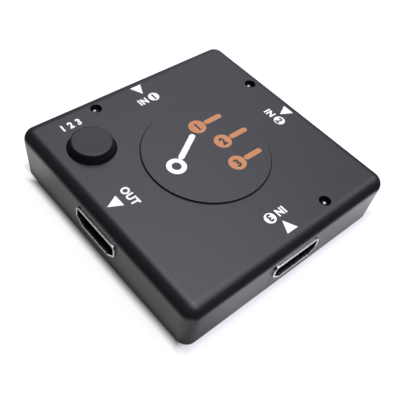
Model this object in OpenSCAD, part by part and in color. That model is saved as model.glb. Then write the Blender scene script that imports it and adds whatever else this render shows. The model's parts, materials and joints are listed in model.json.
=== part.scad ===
// Video switch box with three inputs, one output, a selector button and a pilot lamp for each input.
// Millimetres, +Z up, origin at the centre of the underside.
// The output socket faces -X, input 1 faces +Y, input 2 faces +X and input 3 faces -Y.

/* [Case] */
// Width and depth of the square case
case_w = 65; // [62:1:90]
// Height of the case, without the raised disc and the button
case_h = 15; // [14:0.5:22]
// Thickness of the side walls
wall = 1.8; // [1.4:0.1:2.4]
// Thickness of the top wall
top_t = 1.8; // [1.4:0.1:2.4]
// Radius of the upright corners
corner_r = 3.3; // [3:0.1:5]
// Radius of the rounded edge round the top
top_r = 3.2; // [2.4:0.1:4]
// Radius of the edge round the underside
foot_r = 1; // [0.3:0.1:1.4]
// Draft of the side walls, in degrees
draft = 2.3; // [0:0.1:4]
// Radius inside the upright corners of the case
hollow_r = 1.5; // [1:0.1:2]
// Radius inside the edge round the top of the case
hollow_top_r = 1.2; // [0.6:0.1:1.6]
// Radius of the raised disc
disc_r = 16.1; // [10:0.1:17]
// Height of the raised disc
disc_h = 0.45; // [0.2:0.05:1]
// Thickness of the bottom cover
floor_t = 1.6; // [1.2:0.1:2]
// Gap round the bottom cover and its tabs
seam = 0.1; // [0.05:0.05:0.25]

/* [Button] */
// Radius of the button
button_r = 5.7; // [5:0.05:7]
// Height of the button above the top
button_h = 2.2; // [1.5:0.1:4]
// Radius of the button's top edge
button_edge_r = 0.5; // [0.2:0.1:1.3]
// Slope of the button's side above the case, in degrees
button_slope = 19; // [0:1:25]
// Distance from the button's centre to the output side
button_from_output = 10.8; // [9.5:0.1:12]
// Distance from the button's centre to the input 1 side
button_from_input1 = 15.4; // [14:0.1:17]
// Gap between the button and its hole
button_gap = 0.2; // [0.1:0.05:0.3]
// Wall of the button cap
button_wall = 1.2; // [0.8:0.1:1.6]
// Thickness of the button's flange
flange_t = 0.9; // [0.6:0.1:1.2]
// How far the flange reaches past the hole
flange_reach = 0.8; // [0.5:0.1:1]
// Gap between the flange and the top wall
flange_gap = 0.15; // [0.05:0.05:0.3]
// Radius of the stem below the button
stem_r = 2; // [1.4:0.1:2.4]

/* [Tactile switch] */
// Width of the switch body
switch_w = 6; // [5:0.1:7]
// Height of the switch body with its cover plate
switch_body_h = 3.5; // [3.2:0.1:4]
// Height of the plunger's top above the board
switch_h = 5; // [4.5:0.1:5.5]
// Thickness of the cover plate
switch_plate_t = 0.3; // [0.2:0.05:0.4]
// Radius of the plunger
plunger_r = 1.75; // [1.4:0.05:1.9]
// Radius of the plunger's collar
collar_r = 2.25; // [2.1:0.05:2.3]
// Gap round the plunger and its collar
plunger_gap = 0.12; // [0.08:0.01:0.2]
// Depth of the well that holds the plunger and the dome, below the cover plate
switch_well = 2; // [1.8:0.1:2.2]
// Height of the contact dome
dome_h = 0.55; // [0.45:0.05:0.65]
// Thickness of the contact dome
dome_t = 0.12; // [0.08:0.01:0.15]
// Width of a switch terminal
terminal_w = 0.7; // [0.5:0.05:0.8]
// Thickness of a switch terminal
terminal_t = 0.3; // [0.2:0.05:0.4]
// Distance between the two terminals on one side
terminal_pitch = 4.5; // [3.6:0.1:5]
// How far a terminal rises above the board
terminal_rise = 0.7; // [0.4:0.1:1]

/* [Sockets] */
// Width of a socket's opening
opening_w = 14; // [13.9:0.05:14.2]
// Height of a socket's opening
opening_h = 4.6; // [4.5:0.05:4.8]
// Width of the opening's narrow lower side
opening_low_w = 9.6; // [9:0.1:10.4]
// Height of the opening's upright sides
opening_side_h = 2.8; // [2.4:0.1:3.2]
// Radius of the opening's corners
opening_corner_r = 0.8; // [0.2:0.05:1]
// Thickness of the socket's steel shell
shell_t = 0.35; // [0.25:0.05:0.45]
// Depth of the socket's shell
shell_depth = 11.6; // [10.5:0.1:13]
// How far the rim stands out round the shell
rim_t = 0.12; // [0.08:0.02:0.2]
// Length of the rim
rim_l = 0.8; // [0.5:0.1:1]
// How far the rim stands out of the case
socket_proud = 0.4; // [0.2:0.1:0.8]
// Gap between the rim and the case
socket_gap = 0.08; // [0.06:0.01:0.2]
// Width of the contact tongue
tongue_w = 11.8; // [10.6:0.1:12.6]
// Thickness of the contact tongue
tongue_t = 1.4; // [1.2:0.1:1.6]
// Height of the tongue's middle above the middle of the opening
tongue_rise = 0.3; // [0:0.05:0.4]
// Distance from the rim to the tip of the tongue
tongue_back = 1.8; // [1.4:0.1:2.4]
// Length of the block that carries the tongue
block_l = 4; // [3:0.1:5]
// Gap between the block and the shell
block_gap = 0.05; // [0.03:0.01:0.1]
// Contacts on the upper side of the tongue
upper_contacts = 10; // [8:1:10]
// Distance between contacts of one row
contact_pitch = 1; // [0.9:0.05:1.1]
// Width of a contact
contact_w = 0.32; // [0.25:0.01:0.36]
// Thickness of a contact
contact_t = 0.2; // [0.15:0.01:0.25]
// Length of a contact's foot on the board
contact_foot = 0.9; // [0.6:0.1:1.2]
// Length of a shell leg along the socket
leg_l = 1.2; // [0.8:0.1:1.6]
// Distance from the rim to the first pair of legs
leg_first = 4.8; // [4.6:0.1:5.2]
// Distance between the pairs of legs
leg_pitch = 4.8; // [3.5:0.1:5]

/* [Lamps] */
// Radius of a pilot lamp
lamp_r = 1.45; // [1.2:0.05:1.6]
// Radius of the lamp's rim
lamp_rim_r = 1.9; // [1.75:0.05:2.1]
// Thickness of the lamp's rim
lamp_rim_t = 1; // [0.6:0.1:1.2]
// Length of the lamp
lamp_l = 5.3; // [4.6:0.1:5.6]
// How far the lamp's top lies below the top of the case
lamp_sink = 0.5; // [0.2:0.1:1]
// Gap between a lamp and its hole
lamp_gap = 0.05; // [0.05:0.05:0.2]
// Distance from a lamp to its side of the case
lamp_from_side = 4.7; // [4.4:0.1:5.5]
// Distance from a lamp to the middle of its side
lamp_from_middle = 13.1; // [12:0.1:16]
// Thickness of a lamp lead
lamp_lead_t = 0.5; // [0.4:0.05:0.6]
// Distance between the two leads of a lamp
lamp_lead_pitch = 2.54; // [2:0.02:2.6]

/* [Board] */
// Thickness of the circuit board
board_t = 1.6; // [1.2:0.1:1.8]
// Height of the standoffs that carry the board
standoff_h = 1.9; // [1.6:0.1:2.4]
// Gap between the board's edge and the foot of the walls
board_gap = 0.7; // [0.4:0.1:1]
// Clearance round leads and legs that pass through the board
lead_gap = 0.2; // [0.1:0.05:0.3]
// How far leads stand out below the board
lead_tail = 1; // [0.5:0.1:1.3]

/* [Screws] */
// Distance from a screw to the two nearest sides
screw_from_side = 6; // [5.8:0.1:7]
// Radius of the screw's shank
screw_r = 0.95; // [0.8:0.05:1.1]
// Length of the screw's shank
screw_l = 7.5; // [6:0.5:8]
// Radius of the screw's head
head_r = 1.8; // [1.6:0.1:2]
// Height of the screw's head
head_h = 1.2; // [0.9:0.1:1.3]
// How far the screw's head lies inside the cover
head_sink = 0.2; // [0.1:0.1:0.4]
// Width of the cross in the screw's head
cross_w = 0.45; // [0.3:0.05:0.6]
// Length of the cross in the screw's head
cross_l = 2.2; // [1.6:0.1:2.6]
// Depth of the cross in the screw's head
cross_depth = 0.7; // [0.4:0.1:0.8]
// Radius of the screw's blunt tip
tip_r = 0.25; // [0.1:0.05:0.4]
// Length of the screw's tapered tip
tip_l = 1.9; // [1:0.1:2.5]
// Radius of the bosses in the case
boss_r = 2.4; // [2:0.1:2.6]
// Radius of the standoffs on the cover
standoff_r = 2.6; // [2.4:0.1:2.9]
// Gap between a screw's head and its well
head_gap = 0.3; // [0.2:0.05:0.4]
// Gap between a screw and the holes that it passes through
screw_gap = 0.2; // [0.1:0.05:0.3]
// Gap between a screw and its boss
thread_gap = 0.03; // [0.02:0.01:0.05]

/* [Chips] */
// Width of the switching chip
chip_w = 10; // [9.5:0.5:12]
// Thickness of the switching chip
chip_t = 1; // [0.8:0.1:1.4]
// Leads on each side of the switching chip
chip_leads = 16; // [10:1:18]
// Distance between leads of the switching chip
chip_pitch = 0.5; // [0.4:0.05:0.5]
// Width of a lead of the switching chip
chip_lead_w = 0.22; // [0.15:0.01:0.28]
// Width of the control chip along its rows of leads
control_w = 4.9; // [4.5:0.1:5.2]
// Depth of the control chip across its rows of leads
control_d = 3.9; // [3.5:0.1:4.2]
// Thickness of the control chip
control_t = 1.4; // [1:0.1:1.6]
// Leads on each side of the control chip
control_leads = 4; // [3:1:4]
// Distance between leads of the control chip
control_pitch = 1.27; // [1:0.01:1.27]
// Width of a lead of the control chip
control_lead_w = 0.41; // [0.3:0.01:0.5]
// Width of the regulator
regulator_w = 4.5; // [4:0.1:5]
// Depth of the regulator
regulator_d = 2.5; // [2.2:0.1:3]
// Thickness of the regulator
regulator_t = 1.5; // [1.2:0.1:1.7]
// Distance between leads of the regulator
regulator_pitch = 1.5; // [1.2:0.05:1.6]
// Width of a lead of the regulator
regulator_lead_w = 0.45; // [0.3:0.05:0.6]
// Width of the regulator's cooling tab
regulator_tab_w = 1.8; // [1.2:0.1:3]
// Width of a power diode
diode_w = 2.9; // [2.6:0.1:3.1]
// Depth of a power diode
diode_d = 1.3; // [1.1:0.1:1.6]
// Thickness of a power diode
diode_t = 1; // [0.8:0.1:1.2]
// Distance between leads of a power diode
diode_pitch = 1.9; // [1.6:0.05:2]
// Width of a lead of a power diode
diode_lead_w = 0.4; // [0.3:0.05:0.5]
// Chip resistors in the row behind each socket
resistors = 4; // [2:1:5]
// Distance between chip resistors of a row
resistor_pitch = 2.2; // [1.6:0.1:2.4]
// Length of a chip resistor
resistor_l = 1.6; // [1:0.1:2]
// Width of a chip resistor
resistor_w = 0.8; // [0.5:0.05:1.2]
// Height of a chip resistor
resistor_h = 0.45; // [0.3:0.05:0.6]
// Distance between the two chip capacitors of a side
capacitor_pitch = 8; // [5:0.1:8.5]
// Length of a chip capacitor
capacitor_l = 2; // [1.6:0.1:2.4]
// Width of a chip capacitor
capacitor_w = 1.25; // [0.8:0.05:1.4]
// Height of a chip capacitor
capacitor_h = 0.9; // [0.6:0.05:1.2]
// Gap between a chip's body and the board
chip_lift = 0.1; // [0.05:0.05:0.2]
// Thickness of a chip's leads
lead_t = 0.15; // [0.1:0.01:0.2]
// How far a chip's leads reach out before they drop
lead_reach = 0.45; // [0.3:0.05:0.6]
// Length of the foot of a chip's lead
lead_foot = 0.6; // [0.4:0.05:0.8]
// Gap between the small parts on the board
part_gap = 0.9; // [0.6:0.1:1.2]

/* [Hidden] */
$fn = 48;

// Overlap of shapes that are joined or cut
lap = 0.5;
// Least straight stretch left beside an arc
arc_margin = 0.1;

// Turn from input 3's side, which faces -Y, to each side
turn_in3 = 0;
turn_in2 = 90;
turn_in1 = 180;
turn_out = 270;
input_turns = [turn_in1, turn_in2, turn_in3];
all_turns = [turn_in1, turn_in2, turn_in3, turn_out];

// Case
half_w = case_w / 2;
hollow_half = half_w - wall;
hollow_top = case_h - top_t;
hollow_edge_r = min(hollow_top_r, hollow_r - arc_margin);
edge_r = min(top_r, corner_r - arc_margin);
wall_foot = hollow_half - hollow_top * tan(draft);

// Board and what stands on it
board_low = floor_t + standoff_h;
board_top = board_low + board_t;
board_half = wall_foot - board_gap;
tail_low = board_low - lead_tail;

// Sockets
rim_y = -half_w - socket_proud;
opening_z = board_top + shell_t;
shell_end = rim_y + shell_depth;
tongue_tip = rim_y + tongue_back;
block_face = shell_end - block_l;
tongue_low = opening_z + opening_h / 2 + tongue_rise - tongue_t / 2;
tongue_top = tongue_low + tongue_t;
notch_half = opening_w / 2 + shell_t + rim_t + socket_gap;
leg_x = opening_w / 2 + shell_t / 2;

// Button and tactile switch
button_x = -half_w + button_from_output;
button_y = half_w - button_from_input1;
button_top = case_h + button_h;
button_top_r = button_r + button_edge_r - tan(button_slope) * (button_h - button_edge_r)
    - button_edge_r / cos(button_slope);
button_inner_r = button_r - button_wall;
button_ceiling = button_top - button_wall;
flange_top = hollow_top - flange_gap;
flange_low = flange_top - flange_t;
hole_r = button_r + button_gap;
plunger_top = board_top + switch_h;
plate_low = board_top + switch_body_h - switch_plate_t;
well_low = plate_low - switch_well;
well_r = collar_r + plunger_gap;
dome_r = well_r - plunger_gap;
dome_curve = (dome_r * dome_r + dome_h * dome_h) / (2 * dome_h);
collar_low = well_low + dome_h;
collar_top = plate_low - plunger_gap;

// Lamps
lamp_y = -half_w + lamp_from_side;
lamp_top = case_h - lamp_sink;
lamp_low = lamp_top - lamp_l;

// Screws
screw_at = half_w - screw_from_side;
head_seat = head_sink + head_h;
screw_tip = head_seat + screw_l;
head_web = (head_h - cross_depth) / 2;

// Places of the small parts on the board
lead_out = lead_reach + lead_foot;
chip_span = chip_w / 2 + lead_out;
capacitor_y = chip_span + part_gap + capacitor_w / 2;
resistor_y = capacitor_y + capacitor_w / 2 + part_gap + resistor_l / 2;
control_at = chip_span + part_gap + control_d / 2 + lead_out;
regulator_at = -chip_span - part_gap - regulator_d / 2 - lead_out;
diode_x = leg_x + shell_t / 2 + lead_gap + part_gap + diode_w / 2;

function unit(v) = v / norm(v);

// Half of an upright section, out from an axis at 0: drafted side, rounded top edge, rounded foot
module edge_section(r, h, top, foot, slope) {
    out = [cos(slope), -sin(slope)];
    crown = [r - top, h - top];
    side = crown + top * out;
    reach = out * side;
    heel = [(reach - foot + sin(slope) * foot) / cos(slope), foot];
    polygon([[0, 0], [heel.x, 0], heel + foot * out, side, [crown.x, h], [0, h]]);
    intersection() {
        translate(crown) circle(top);
        square([r, h]);
    }
    if (foot > 0) translate(heel) circle(foot);
}

// Square solid with rounded corners whose sides follow edge_section
module drafted_box(half, r, h, top, foot) {
    core = half - r;
    translate([-core, -core, 0]) cube([2 * core, 2 * core, h]);
    for (turn = [0:90:270]) rotate(turn) {
        translate([core, core, 0]) rotate_extrude(angle = 90) edge_section(r, h, top, foot, draft);
        translate([core, core, 0]) rotate([90, 0, 0]) linear_extrude(2 * core)
            edge_section(r, h, top, foot, draft);
    }
}

module case_form() {
    drafted_box(half_w, corner_r, case_h, edge_r, foot_r);
}

// Hollow of the case, drawn in by a gap and open below the underside
module hollow_form(gap) {
    translate([0, 0, -lap])
        drafted_box(hollow_half - gap, hollow_r - gap, hollow_top + lap, hollow_edge_r - gap, 0);
}

module at_screws() {
    for (turn = [0:90:270]) rotate(turn) translate([screw_at, screw_at, 0]) children();
}

module at_button() {
    translate([button_x, button_y, 0]) children();
}

module at_lamp() {
    translate([lamp_from_middle, lamp_y, 0]) children();
}

// Convex outline, listed counter-clockwise, with round corners
module rounded_outline(points, r) {
    n = len(points);
    corners = [for (i = [0:n - 1]) let (
        p = points[i],
        back = unit(points[(i + n - 1) % n] - p),
        ahead = unit(points[(i + 1) % n] - p),
        half = acos(back * ahead) / 2,
        reach = r / tan(half)
    ) [p + back * reach, p + ahead * reach, p + unit(back + ahead) * r / sin(half)]];
    polygon([for (c = corners) each [c[0], c[1]]]);
    for (c = corners) translate(c[2]) circle(r);
}

// Outline of a socket's opening, wide side up, grown by a wall
module socket_outline(grow) {
    slope_x = (opening_w - opening_low_w) / 2;
    slope_z = opening_h - opening_side_h;
    slope = norm([slope_x, slope_z]);
    knee_z = slope_z - grow * (slope - slope_z) / slope_x;
    low_x = opening_low_w / 2 + grow * (slope - slope_x) / slope_z;
    side_x = opening_w / 2 + grow;
    top_z = opening_h + grow;
    rounded_outline([
        [-low_x, -grow], [low_x, -grow], [side_x, knee_z],
        [side_x, top_z], [-side_x, top_z], [-side_x, knee_z]
    ], opening_corner_r + grow);
}

// Outline of the notch in the wall: it follows the socket above and is open below
module notch_outline() {
    socket_outline(shell_t + rim_t + socket_gap);
    translate([-notch_half, -opening_z - lap])
        square([2 * notch_half, opening_z + lap + opening_h - opening_side_h / 2]);
}

// Extrudes an upright outline along Y at a socket's height
module along_socket(from, to) {
    translate([0, to, opening_z]) rotate([90, 0, 0]) linear_extrude(to - from) children();
}

// Strip that runs level, drops to the board and ends in a foot
module bent_lead(from, to, level, foot, w, t) {
    translate([-w / 2, 0, 0]) rotate([90, 0, 90]) linear_extrude(w) polygon([
        [from, level], [to, level], [to, board_top], [to + foot, board_top], [to + foot, board_top + t],
        [to + t, board_top + t], [to + t, level + t], [from, level + t]
    ]);
}

// Places along X of a row with its middle at 0
module at_row(count, pitch) {
    for (i = [0:count - 1]) translate([(i - (count - 1) / 2) * pitch, 0, 0]) children();
}

// Row of leads along X on the +Y side of a chip whose side lies at y
module chip_lead_row(count, pitch, y, w) {
    level = board_top + chip_lift + lead_t;
    at_row(count, pitch) bent_lead(y, y + lead_reach, level, lead_foot, w, lead_t);
}

module chip_body(w, d, t) {
    translate([-w / 2, -d / 2, board_top + chip_lift]) cube([w, d, t]);
}

module upper_housing() {
    color("#232326") difference() {
        union() {
            difference() {
                case_form();
                hollow_form(0);
            }
            translate([0, 0, case_h - lap]) cylinder(r = disc_r, h = disc_h + lap, $fn = 96);
            at_screws() translate([0, 0, board_top])
                cylinder(r = boss_r, h = hollow_top + lap - board_top);
        }
        at_screws() translate([0, 0, board_top - lap])
            cylinder(r = screw_r + thread_gap, h = screw_tip - board_top + 2 * lap);
        at_button() translate([0, 0, hollow_top - lap]) cylinder(r = hole_r, h = top_t + 2 * lap);
        for (turn = input_turns) rotate(turn) at_lamp() translate([0, 0, lamp_low])
            cylinder(r = lamp_r + lamp_gap, h = case_h);
        for (turn = all_turns) rotate(turn) along_socket(-half_w - lap, wall - wall_foot) notch_outline();
    }
}

module cover_tab() {
    tab_half = notch_half - seam;
    difference() {
        intersection() {
            case_form();
            union() {
                translate([-tab_half, -half_w - lap, 0])
                    cube([2 * tab_half, half_w + lap - wall_foot, opening_z + opening_h - opening_side_h]);
                translate([-tab_half, -half_w - lap, 0])
                    cube([2 * tab_half, half_w + 3 * lap - wall_foot, floor_t]);
            }
        }
        along_socket(-half_w - 2 * lap, -wall_foot + lap) socket_outline(shell_t + rim_t + socket_gap);
    }
}

module bottom_cover() {
    color("#1f1f22") difference() {
        union() {
            intersection() {
                hollow_form(seam);
                translate([-half_w, -half_w, 0]) cube([case_w, case_w, floor_t]);
            }
            for (turn = all_turns) rotate(turn) cover_tab();
            at_screws() translate([0, 0, floor_t - lap]) cylinder(r = standoff_r, h = standoff_h + lap);
        }
        at_screws() translate([0, 0, -lap]) cylinder(r = screw_r + screw_gap, h = board_top + lap);
        at_screws() translate([0, 0, -lap]) cylinder(r = head_r + head_gap, h = head_seat + lap);
    }
}

module case_screw() {
    difference() {
        translate([0, 0, head_sink]) cylinder(r = head_r, h = head_h);
        for (turn = [0, 90]) rotate(turn) translate([-cross_l / 2, -cross_w / 2, head_sink - lap])
            cube([cross_l, cross_w, cross_depth + lap]);
    }
    translate([0, 0, head_seat - head_web]) cylinder(r = screw_r, h = screw_l - tip_l + head_web);
    translate([0, 0, screw_tip - tip_l]) cylinder(r1 = screw_r, r2 = tip_r, h = tip_l);
}

module case_screws() {
    color("#a8a9ac") at_screws() case_screw();
}

module button_cap() {
    color("#1b1b1d") at_button() {
        difference() {
            union() {
                translate([0, 0, flange_low]) rotate_extrude($fn = 96) intersection() {
                    edge_section(button_top_r, button_top - flange_low, button_edge_r, 0, -button_slope);
                    square([button_r, button_top - flange_low]);
                }
                translate([0, 0, flange_low]) cylinder(r = hole_r + flange_reach, h = flange_t);
            }
            rotate_extrude($fn = 96) polygon([
                [0, flange_low - lap], [button_inner_r, flange_low - lap], [button_inner_r, case_h],
                [button_inner_r - tan(button_slope) * (button_ceiling - case_h), button_ceiling],
                [0, button_ceiling]
            ]);
        }
        translate([0, 0, plunger_top]) cylinder(r = stem_r, h = button_top - button_wall / 2 - plunger_top);
    }
}

module switch_base() {
    color("#18181a") at_button() difference() {
        translate([-switch_w / 2, -switch_w / 2, board_top])
            cube([switch_w, switch_w, plate_low - board_top]);
        translate([0, 0, well_low]) cylinder(r = well_r, h = switch_well + lap);
    }
}

module switch_plate() {
    color("#c3c5c8") at_button() translate([0, 0, plate_low]) difference() {
        translate([-switch_w / 2, -switch_w / 2, 0]) cube([switch_w, switch_w, switch_plate_t]);
        translate([0, 0, -lap]) cylinder(r = plunger_r + plunger_gap, h = switch_plate_t + 2 * lap);
    }
}

module switch_plunger() {
    color("#2b2b2e") at_button() {
        translate([0, 0, collar_low]) cylinder(r = collar_r, h = collar_top - collar_low);
        translate([0, 0, collar_low]) cylinder(r = plunger_r, h = plunger_top - collar_low);
    }
}

module switch_dome() {
    centre = well_low + dome_h - dome_curve;
    color("#c9b27a") at_button() intersection() {
        translate([0, 0, well_low]) cylinder(r = dome_r, h = dome_h);
        translate([0, 0, centre]) difference() {
            sphere(dome_curve);
            sphere(dome_curve - dome_t);
        }
    }
}

module switch_terminals() {
    side = switch_w / 2;
    color("#c9cbce") at_button() for (turn = [0, 180], i = [-1, 1]) rotate(turn)
        translate([side, i * terminal_pitch / 2 - terminal_w / 2, tail_low])
            cube([terminal_t, terminal_w, board_top + terminal_rise - tail_low]);
}

module circuit_board() {
    side = switch_w / 2;
    hole_z = board_low - lap;
    hole_h = board_t + 2 * lap;
    color("#1d5a3a") difference() {
        translate([-board_half, -board_half, board_low]) cube([2 * board_half, 2 * board_half, board_t]);
        at_screws() translate([0, 0, hole_z]) cylinder(r = screw_r + screw_gap, h = hole_h);
        at_button() for (turn = [0, 180], i = [-1, 1]) rotate(turn)
            translate([side + terminal_t / 2, i * terminal_pitch / 2, hole_z])
                cylinder(r = norm([terminal_w, terminal_t]) / 2 + lead_gap, h = hole_h);
        for (turn = input_turns) rotate(turn) at_lamp() for (i = [-1, 1])
            translate([i * lamp_lead_pitch / 2, 0, hole_z])
                cylinder(r = lamp_lead_t * sqrt(0.5) + lead_gap, h = hole_h);
        for (turn = all_turns) rotate(turn) at_shell_legs()
            translate([-shell_t / 2 - lead_gap, -leg_l / 2 - lead_gap, hole_z])
                cube([shell_t + 2 * lead_gap, leg_l + 2 * lead_gap, hole_h]);
    }
}

module at_shell_legs() {
    for (x = [-leg_x, leg_x], i = [0, 1]) translate([x, rim_y + leg_first + i * leg_pitch, 0]) children();
}

module socket_shell(turn) {
    leg_top = opening_z + opening_h - opening_side_h / 2;
    color("#c6c8cb") rotate(turn) {
        difference() {
            union() {
                along_socket(rim_y, shell_end) socket_outline(shell_t);
                along_socket(rim_y, rim_y + rim_l) socket_outline(shell_t + rim_t);
            }
            along_socket(rim_y - lap, shell_end + lap) socket_outline(0);
        }
        at_shell_legs() translate([-shell_t / 2, -leg_l / 2, tail_low])
            cube([shell_t, leg_l, leg_top - tail_low]);
    }
}

// Places of the contacts: upper row on top of the tongue, lower row between them below it
module at_upper_contacts() {
    at_row(upper_contacts, contact_pitch) children();
}

module at_lower_contacts() {
    at_row(upper_contacts - 1, contact_pitch) children();
}

module socket_insert(turn) {
    slot = [contact_w, block_l + 2 * lap, contact_t];
    color("#141416") rotate(turn) difference() {
        union() {
            along_socket(block_face, shell_end) socket_outline(-block_gap);
            translate([-tongue_w / 2, tongue_tip, tongue_low])
                cube([tongue_w, block_face - tongue_tip + lap, tongue_t]);
        }
        translate([-contact_w / 2, block_face - lap, 0]) {
            at_upper_contacts() translate([0, 0, tongue_top]) cube(slot);
            at_lower_contacts() translate([0, 0, tongue_low - contact_t]) cube(slot);
        }
    }
}

module socket_contacts(turn) {
    tip = tongue_tip + contact_w;
    tail = shell_end + block_gap;
    color("#d8b45a") rotate(turn) {
        at_upper_contacts() bent_lead(tip, tail, tongue_top, contact_foot, contact_w, contact_t);
        at_lower_contacts()
            bent_lead(tip, tail, tongue_low - contact_t, contact_foot, contact_w, contact_t);
    }
}

module led_lens(turn) {
    color("#2a2a2e") rotate(turn) at_lamp() {
        translate([0, 0, lamp_low]) cylinder(r = lamp_rim_r, h = lamp_rim_t);
        translate([0, 0, lamp_low]) cylinder(r = lamp_r, h = lamp_l - lamp_r);
        translate([0, 0, lamp_top - lamp_r]) sphere(lamp_r);
    }
}

module led_leads() {
    color("#c9cbce") for (turn = input_turns) rotate(turn) at_lamp() for (i = [-1, 1])
        translate([i * lamp_lead_pitch / 2 - lamp_lead_t / 2, -lamp_lead_t / 2, tail_low])
            cube([lamp_lead_t, lamp_lead_t, lamp_low - tail_low]);
}

module switching_chip() {
    color("#1a1a1c") chip_body(chip_w, chip_w, chip_t);
}

module switching_chip_leads() {
    color("#c9cbce") for (turn = all_turns) rotate(turn)
        chip_lead_row(chip_leads, chip_pitch, chip_w / 2, chip_lead_w);
}

module at_control() {
    translate([control_at, control_at, 0]) children();
}

module control_chip() {
    color("#1a1a1c") at_control() chip_body(control_w, control_d, control_t);
}

module control_chip_leads() {
    color("#c9cbce") at_control() for (turn = [0, 180]) rotate(turn)
        chip_lead_row(control_leads, control_pitch, control_d / 2, control_lead_w);
}

module at_regulator() {
    translate([regulator_at, regulator_at, 0]) children();
}

module regulator() {
    color("#1a1a1c") at_regulator() chip_body(regulator_w, regulator_d, regulator_t);
}

module regulator_leads() {
    color("#c9cbce") at_regulator() {
        chip_lead_row(3, regulator_pitch, regulator_d / 2, regulator_lead_w);
        rotate(180) chip_lead_row(1, 0, regulator_d / 2, regulator_tab_w);
    }
}

module at_diodes() {
    for (turn = input_turns) rotate(turn) translate([-diode_x, shell_end, 0]) children();
}

module power_diodes() {
    color("#1a1a1c") at_diodes() chip_body(diode_w, diode_d, diode_t);
}

module diode_leads() {
    color("#c9cbce") at_diodes() {
        chip_lead_row(2, diode_pitch, diode_d / 2, diode_lead_w);
        rotate(180) chip_lead_row(1, 0, diode_d / 2, diode_lead_w);
    }
}

module chip_resistors() {
    color("#2a2a2d") for (turn = all_turns) rotate(turn) at_row(resistors, resistor_pitch)
        translate([-resistor_w / 2, -resistor_y - resistor_l / 2, board_top])
            cube([resistor_w, resistor_l, resistor_h]);
}

module chip_capacitors() {
    color("#b08d5b") for (turn = all_turns) rotate(turn) at_row(2, capacitor_pitch)
        translate([-capacitor_l / 2, -capacitor_y - capacitor_w / 2, board_top])
            cube([capacitor_l, capacitor_w, capacitor_h]);
}

upper_housing();
bottom_cover();
case_screws();
button_cap();
switch_base();
switch_plate();
switch_plunger();
switch_dome();
switch_terminals();
circuit_board();
socket_shell(turn_in1);  // socket_shell_in1
socket_shell(turn_in2);  // socket_shell_in2
socket_shell(turn_in3);  // socket_shell_in3
socket_shell(turn_out);  // socket_shell_out
socket_insert(turn_in1);  // socket_insert_in1
socket_insert(turn_in2);  // socket_insert_in2
socket_insert(turn_in3);  // socket_insert_in3
socket_insert(turn_out);  // socket_insert_out
socket_contacts(turn_in1);  // socket_contacts_in1
socket_contacts(turn_in2);  // socket_contacts_in2
socket_contacts(turn_in3);  // socket_contacts_in3
socket_contacts(turn_out);  // socket_contacts_out
led_lens(turn_in1);  // led_lens_in1
led_lens(turn_in2);  // led_lens_in2
led_lens(turn_in3);  // led_lens_in3
led_leads();
switching_chip();
switching_chip_leads();
control_chip();
control_chip_leads();
regulator();
regulator_leads();
power_diodes();
diode_leads();
chip_resistors();
chip_capacitors();
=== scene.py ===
"""Looks of the video switch box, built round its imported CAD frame.

Laid out as an add-on and run as a script: each operator models one piece or one group of like pieces,
and the panel lists them. Everything is in metres, in the frame of the CAD model.
"""

import json
import math

import bmesh
import bpy
from bpy.props import FloatProperty, FloatVectorProperty, PointerProperty
from bpy.types import Operator, Panel, PropertyGroup
from mathutils import Matrix, Vector


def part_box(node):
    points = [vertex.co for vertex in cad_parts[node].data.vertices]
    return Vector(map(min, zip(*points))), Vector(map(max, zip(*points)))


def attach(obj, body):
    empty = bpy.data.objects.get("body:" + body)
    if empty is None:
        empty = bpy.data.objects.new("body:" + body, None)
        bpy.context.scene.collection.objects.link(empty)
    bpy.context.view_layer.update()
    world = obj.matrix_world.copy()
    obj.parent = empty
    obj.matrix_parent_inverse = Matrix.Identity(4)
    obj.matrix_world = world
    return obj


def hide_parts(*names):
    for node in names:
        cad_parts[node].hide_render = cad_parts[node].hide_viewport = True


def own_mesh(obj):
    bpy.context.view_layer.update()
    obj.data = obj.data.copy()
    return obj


bl_info = {
    "name": "Video switch box",
    "version": (1, 0, 0),
    "blender": (4, 5, 0),
    "location": "View3D > Sidebar > Switch Box",
    "description": "Models and dresses a small video switch box round its CAD frame",
    "category": "Object",
}

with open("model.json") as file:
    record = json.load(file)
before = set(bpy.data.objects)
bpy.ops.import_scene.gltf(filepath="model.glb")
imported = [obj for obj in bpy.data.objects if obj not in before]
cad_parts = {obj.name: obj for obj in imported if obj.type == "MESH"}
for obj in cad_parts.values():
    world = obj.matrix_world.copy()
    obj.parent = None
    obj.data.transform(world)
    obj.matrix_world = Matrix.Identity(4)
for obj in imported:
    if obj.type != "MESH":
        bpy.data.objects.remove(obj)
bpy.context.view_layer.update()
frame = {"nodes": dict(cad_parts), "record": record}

MM = 0.001
SIDES = {"in3": 0, "in2": 90, "in1": 180, "out": 270}
INPUTS = ("in1", "in2", "in3")
QUARTERS = ((1, 1), (-1, 1), (-1, -1), (1, -1))

# Distances within which points merge or count as level, and the angles of flat and of sharp edges
MERGE = 1e-7
CAD_MERGE = 1e-6
TINY = 1e-5
FLAT_ANGLE = math.radians(0.5)
SHARP_ANGLE = math.radians(40)

# Steps round the turned pieces
DISC_STEPS = 128
BUTTON_STEPS = 96
HOLE_STEPS = 64
LENS_STEPS = 48
INK_STEPS = 48
BOSS_STEPS = 32
GLINT_STEPS = 24

# Sizes read from the frame
HOUSING_LOW, HOUSING_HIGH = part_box("upper_housing")
BUTTON_LOW, BUTTON_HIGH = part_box("button_cap")
SHELL_LOW, SHELL_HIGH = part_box("socket_shell_in3")
LENS_LOW, LENS_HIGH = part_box("led_lens_in3")
BOARD_LOW, BOARD_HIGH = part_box("circuit_board")
BUTTON_CENTRE = (BUTTON_LOW + BUTTON_HIGH) / 2
LENS_CENTRE = (LENS_LOW + LENS_HIGH) / 2


def mm(x, y):
    """Place in metres for two numbers of millimetres."""
    return Vector((x, y)) * MM


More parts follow.
